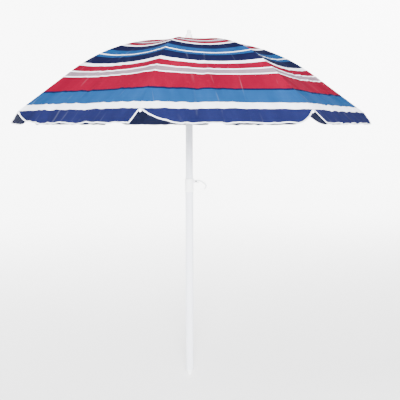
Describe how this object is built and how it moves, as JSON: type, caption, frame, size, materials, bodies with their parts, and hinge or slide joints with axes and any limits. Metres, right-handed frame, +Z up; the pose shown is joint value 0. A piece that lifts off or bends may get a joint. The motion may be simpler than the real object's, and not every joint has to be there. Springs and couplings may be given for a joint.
{
  "type": "beach umbrella",
  "caption": "Open beach umbrella: striped cloth canopy with a scalloped valance on folding ribs, telescopic pole with a screw height lock and a ground spike.",
  "frame": {"origin": "tip of the ground spike, on the pole's axis", "axes": "+Z up the pole; +X towards the hook of the height lock, midway between two ribs"},
  "size_m": [1.5718, 1.5718, 1.6897],
  "materials": {
    "pole_steel": "gloss white enamel",
    "white_plastic": "semi-gloss",
    "rib_steel": "zinc plated",
    "pin_steel": "plain",
    "canopy_cloth": "woven polyester, striped"
  },
  "bodies": {
    "lower_pole": {"lower_tube": "pole_steel", "ground_spike": "white_plastic", "pole_collar": "white_plastic"},
    "upper_pole": {"upper_tube": "pole_steel", "crown": "white_plastic", "crown_ring_wire": "pin_steel", "finial": "white_plastic"},
    "lock_screw": {"lock_screw": "pin_steel"},
    "lock_hook": {"lock_hook": "white_plastic"},
    "runner_catch": {"runner_catch": "pin_steel"},
    "runner": {"runner": "white_plastic", "runner_ring_wire": "pin_steel"},
    "rib_1": {"rib_1": "rib_steel", "rib_clip_1": "pin_steel", "rib_tip_1": "white_plastic"},
    "stretcher_1": {"stretcher_1": "rib_steel"},
    "half_gore_left_1": {"half_gore_left_1": "canopy_cloth"},
    "half_gore_right_1": {"half_gore_right_1": "canopy_cloth"},
    "rib_2": {"rib_2": "rib_steel", "rib_clip_2": "pin_steel", "rib_tip_2": "white_plastic"},
    "stretcher_2": {"stretcher_2": "rib_steel"},
    "half_gore_left_2": {"half_gore_left_2": "canopy_cloth"},
    "half_gore_right_2": {"half_gore_right_2": "canopy_cloth"},
    "rib_3": {"rib_3": "rib_steel", "rib_clip_3": "pin_steel", "rib_tip_3": "white_plastic"},
    "stretcher_3": {"stretcher_3": "rib_steel"},
    "half_gore_left_3": {"half_gore_left_3": "canopy_cloth"},
    "half_gore_right_3": {"half_gore_right_3": "canopy_cloth"},
    "rib_4": {"rib_4": "rib_steel", "rib_clip_4": "pin_steel", "rib_tip_4": "white_plastic"},
    "stretcher_4": {"stretcher_4": "rib_steel"},
    "half_gore_left_4": {"half_gore_left_4": "canopy_cloth"},
    "half_gore_right_4": {"half_gore_right_4": "canopy_cloth"},
    "rib_5": {"rib_5": "rib_steel", "rib_clip_5": "pin_steel", "rib_tip_5": "white_plastic"},
    "stretcher_5": {"stretcher_5": "rib_steel"},
    "half_gore_left_5": {"half_gore_left_5": "canopy_cloth"},
    "half_gore_right_5": {"half_gore_right_5": "canopy_cloth"},
    "rib_6": {"rib_6": "rib_steel", "rib_clip_6": "pin_steel", "rib_tip_6": "white_plastic"},
    "stretcher_6": {"stretcher_6": "rib_steel"},
    "half_gore_left_6": {"half_gore_left_6": "canopy_cloth"},
    "half_gore_right_6": {"half_gore_right_6": "canopy_cloth"},
    "rib_7": {"rib_7": "rib_steel", "rib_clip_7": "pin_steel", "rib_tip_7": "white_plastic"},
    "stretcher_7": {"stretcher_7": "rib_steel"},
    "half_gore_left_7": {"half_gore_left_7": "canopy_cloth"},
    "half_gore_right_7": {"half_gore_right_7": "canopy_cloth"},
    "rib_8": {"rib_8": "rib_steel", "rib_clip_8": "pin_steel", "rib_tip_8": "white_plastic"},
    "stretcher_8": {"stretcher_8": "rib_steel"},
    "half_gore_left_8": {"half_gore_left_8": "canopy_cloth"},
    "half_gore_right_8": {"half_gore_right_8": "canopy_cloth"}
  },
  "joints": [
    {"name": "height_slide", "type": "slide", "parent": "lower_pole", "child": "upper_pole", "axis": [0, 0, 1], "range_m": [-0.02, 0.25]},
    {"name": "lock_screw_travel", "type": "slide", "parent": "lower_pole", "child": "lock_screw", "axis": [1, 0, 0], "range_m": [0, 0.002]},
    {"name": "lock_hook_turn", "type": "hinge", "parent": "lock_screw", "child": "lock_hook", "pos_m": [0, 0, 0.981], "axis": [1, 0, 0], "range_deg": [0, 720]},
    {"name": "runner_catch_press", "type": "slide", "parent": "upper_pole", "child": "runner_catch", "axis": [-1, 0, 0], "range_m": [0, 0.0032], "stiffness_N_per_m": 600, "springref_m": -0.002},
    {"name": "fold", "type": "hinge", "parent": "upper_pole", "child": "rib_1", "pos_m": [-0.0111, -0.02679, 1.626], "axis": [0.9239, -0.3827, 0], "range_deg": [0, 66]},
    {"name": "stretcher_1_turn", "type": "hinge", "parent": "rib_1", "child": "stretcher_1", "pos_m": [-0.12246, -0.29566, 1.58162], "axis": [0.9239, -0.3827, 0], "range_deg": [-132, 0]},
    {"name": "half_gore_left_1_gather", "type": "slide", "parent": "rib_1", "child": "half_gore_left_1", "axis": [-0.9243, 0.2476, 0.2905], "range_m": [0, 0.348], "deforming": ["half_gore_left_1"]},
    {"name": "half_gore_right_1_gather", "type": "slide", "parent": "rib_1", "child": "half_gore_right_1", "axis": [0.8287, -0.4785, 0.2905], "range_m": [0, 0.348], "deforming": ["half_gore_right_1"]},
    {"name": "rib_2_fold", "type": "hinge", "parent": "upper_pole", "child": "rib_2", "pos_m": [0.0111, -0.02679, 1.626], "axis": [0.9239, 0.3827, 0], "range_deg": [0, 66]},
    {"name": "stretcher_2_turn", "type": "hinge", "parent": "rib_2", "child": "stretcher_2", "pos_m": [0.12246, -0.29566, 1.58162], "axis": [0.9239, 0.3827, 0], "range_deg": [-132, 0]},
    {"name": "half_gore_left_2_gather", "type": "slide", "parent": "rib_2", "child": "half_gore_left_2", "axis": [-0.8287, -0.4785, 0.2905], "range_m": [0, 0.348], "deforming": ["half_gore_left_2"]},
    {"name": "half_gore_right_2_gather", "type": "slide", "parent": "rib_2", "child": "half_gore_right_2", "axis": [0.9243, 0.2476, 0.2905], "range_m": [0, 0.348], "deforming": ["half_gore_right_2"]},
    {"name": "rib_3_fold", "type": "hinge", "parent": "upper_pole", "child": "rib_3", "pos_m": [0.02679, -0.0111, 1.626], "axis": [0.3827, 0.9239, 0], "range_deg": [0, 66]},
    {"name": "stretcher_3_turn", "type": "hinge", "parent": "rib_3", "child": "stretcher_3", "pos_m": [0.29566, -0.12246, 1.58162], "axis": [0.3827, 0.9239, 0], "range_deg": [-132, 0]},
    {"name": "half_gore_left_3_gather", "type": "slide", "parent": "rib_3", "child": "half_gore_left_3", "axis": [-0.2476, -0.9243, 0.2905], "range_m": [0, 0.348], "deforming": ["half_gore_left_3"]},
    {"name": "half_gore_right_3_gather", "type": "slide", "parent": "rib_3", "child": "half_gore_right_3", "axis": [0.4785, 0.8287, 0.2905], "range_m": [0, 0.348], "deforming": ["half_gore_right_3"]},
    {"name": "rib_4_fold", "type": "hinge", "parent": "upper_pole", "child": "rib_4", "pos_m": [0.02679, 0.0111, 1.626], "axis": [-0.3827, 0.9239, 0], "range_deg": [0, 66]},
    {"name": "stretcher_4_turn", "type": "hinge", "parent": "rib_4", "child": "stretcher_4", "pos_m": [0.29566, 0.12246, 1.58162], "axis": [-0.3827, 0.9239, 0], "range_deg": [-132, 0]},
    {"name": "half_gore_left_4_gather", "type": "slide", "parent": "rib_4", "child": "half_gore_left_4", "axis": [0.4785, -0.8287, 0.2905], "range_m": [0, 0.348], "deforming": ["half_gore_left_4"]},
    {"name": "half_gore_right_4_gather", "type": "slide", "parent": "rib_4", "child": "half_gore_right_4", "axis": [-0.2476, 0.9243, 0.2905], "range_m": [0, 0.348], "deforming": ["half_gore_right_4"]},
    {"name": "rib_5_fold", "type": "hinge", "parent": "upper_pole", "child": "rib_5", "pos_m": [0.0111, 0.02679, 1.626], "axis": [-0.9239, 0.3827, 0], "range_deg": [0, 66]},
    {"name": "stretcher_5_turn", "type": "hinge", "parent": "rib_5", "child": "stretcher_5", "pos_m": [0.12246, 0.29566, 1.58162], "axis": [-0.9239, 0.3827, 0], "range_deg": [-132, 0]},
    {"name": "half_gore_left_5_gather", "type": "slide", "parent": "rib_5", "child": "half_gore_left_5", "axis": [0.9243, -0.2476, 0.2905], "range_m": [0, 0.348], "deforming": ["half_gore_left_5"]},
    {"name": "half_gore_right_5_gather", "type": "slide", "parent": "rib_5", "child": "half_gore_right_5", "axis": [-0.8287, 0.4785, 0.2905], "range_m": [0, 0.348], "deforming": ["half_gore_right_5"]},
    {"name": "rib_6_fold", "type": "hinge", "parent": "upper_pole", "child": "rib_6", "pos_m": [-0.0111, 0.02679, 1.626], "axis": [-0.9239, -0.3827, 0], "range_deg": [0, 66]},
    {"name": "stretcher_6_turn", "type": "hinge", "parent": "rib_6", "child": "stretcher_6", "pos_m": [-0.12246, 0.29566, 1.58162], "axis": [-0.9239, -0.3827, 0], "range_deg": [-132, 0]},
    {"name": "half_gore_left_6_gather", "type": "slide", "parent": "rib_6", "child": "half_gore_left_6", "axis": [0.8287, 0.4785, 0.2905], "range_m": [0, 0.348], "deforming": ["half_gore_left_6"]},
    {"name": "half_gore_right_6_gather", "type": "slide", "parent": "rib_6", "child": "half_gore_right_6", "axis": [-0.9243, -0.2476, 0.2905], "range_m": [0, 0.348], "deforming": ["half_gore_right_6"]},
    {"name": "rib_7_fold", "type": "hinge", "parent": "upper_pole", "child": "rib_7", "pos_m": [-0.02679, 0.0111, 1.626], "axis": [-0.3827, -0.9239, 0], "range_deg": [0, 66]},
    {"name": "stretcher_7_turn", "type": "hinge", "parent": "rib_7", "child": "stretcher_7", "pos_m": [-0.29566, 0.12246, 1.58162], "axis": [-0.3827, -0.9239, 0], "range_deg": [-132, 0]},
    {"name": "half_gore_left_7_gather", "type": "slide", "parent": "rib_7", "child": "half_gore_left_7", "axis": [0.2476, 0.9243, 0.2905], "range_m": [0, 0.348], "deforming": ["half_gore_left_7"]},
    {"name": "half_gore_right_7_gather", "type": "slide", "parent": "rib_7", "child": "half_gore_right_7", "axis": [-0.4785, -0.8287, 0.2905], "range_m": [0, 0.348], "deforming": ["half_gore_right_7"]},
    {"name": "rib_8_fold", "type": "hinge", "parent": "upper_pole", "child": "rib_8", "pos_m": [-0.02679, -0.0111, 1.626], "axis": [0.3827, -0.9239, 0], "range_deg": [0, 66]},
    {"name": "stretcher_8_turn", "type": "hinge", "parent": "rib_8", "child": "stretcher_8", "pos_m": [-0.29566, -0.12246, 1.58162], "axis": [0.3827, -0.9239, 0], "range_deg": [-132, 0]},
    {"name": "half_gore_left_8_gather", "type": "slide", "parent": "rib_8", "child": "half_gore_left_8", "axis": [-0.4785, 0.8287, 0.2905], "range_m": [0, 0.348], "deforming": ["half_gore_left_8"]},
    {"name": "half_gore_right_8_gather", "type": "slide", "parent": "rib_8", "child": "half_gore_right_8", "axis": [0.2476, -0.9243, 0.2905], "range_m": [0, 0.348], "deforming": ["half_gore_right_8"]},
    {"name": "runner_turn", "type": "hinge", "parent": "stretcher_1", "child": "runner", "pos_m": [-0.0111, -0.02679, 1.53725], "axis": [0.9239, -0.3827, 0], "range_deg": [0, 66]}
  ],
  "couplings": [
    {"joint": "lock_screw_travel", "follows": "lock_hook_turn", "m_per_rad": 0.00015915},
    {"joint": "stretcher_1_turn", "follows": "fold", "ratio": -2},
    {"joint": "half_gore_left_1_gather", "follows": "fold", "m_per_rad": 0.30197},
    {"joint": "half_gore_right_1_gather", "follows": "fold", "m_per_rad": 0.30197},
    {"joint": "rib_2_fold", "follows": "fold", "ratio": 1},
    {"joint": "stretcher_2_turn", "follows": "fold", "ratio": -2},
    {"joint": "half_gore_left_2_gather", "follows": "fold", "m_per_rad": 0.30197},
    {"joint": "half_gore_right_2_gather", "follows": "fold", "m_per_rad": 0.30197},
    {"joint": "rib_3_fold", "follows": "fold", "ratio": 1},
    {"joint": "stretcher_3_turn", "follows": "fold", "ratio": -2},
    {"joint": "half_gore_left_3_gather", "follows": "fold", "m_per_rad": 0.30197},
    {"joint": "half_gore_right_3_gather", "follows": "fold", "m_per_rad": 0.30197},
    {"joint": "rib_4_fold", "follows": "fold", "ratio": 1},
    {"joint": "stretcher_4_turn", "follows": "fold", "ratio": -2},
    {"joint": "half_gore_left_4_gather", "follows": "fold", "m_per_rad": 0.30197},
    {"joint": "half_gore_right_4_gather", "follows": "fold", "m_per_rad": 0.30197},
    {"joint": "rib_5_fold", "follows": "fold", "ratio": 1},
    {"joint": "stretcher_5_turn", "follows": "fold", "ratio": -2},
    {"joint": "half_gore_left_5_gather", "follows": "fold", "m_per_rad": 0.30197},
    {"joint": "half_gore_right_5_gather", "follows": "fold", "m_per_rad": 0.30197},
    {"joint": "rib_6_fold", "follows": "fold", "ratio": 1},
    {"joint": "stretcher_6_turn", "follows": "fold", "ratio": -2},
    {"joint": "half_gore_left_6_gather", "follows": "fold", "m_per_rad": 0.30197},
    {"joint": "half_gore_right_6_gather", "follows": "fold", "m_per_rad": 0.30197},
    {"joint": "rib_7_fold", "follows": "fold", "ratio": 1},
    {"joint": "stretcher_7_turn", "follows": "fold", "ratio": -2},
    {"joint": "half_gore_left_7_gather", "follows": "fold", "m_per_rad": 0.30197},
    {"joint": "half_gore_right_7_gather", "follows": "fold", "m_per_rad": 0.30197},
    {"joint": "rib_8_fold", "follows": "fold", "ratio": 1},
    {"joint": "stretcher_8_turn", "follows": "fold", "ratio": -2},
    {"joint": "half_gore_left_8_gather", "follows": "fold", "m_per_rad": 0.30197},
    {"joint": "half_gore_right_8_gather", "follows": "fold", "m_per_rad": 0.30197},
    {"joint": "runner_turn", "follows": "fold", "ratio": 1}
  ]
}
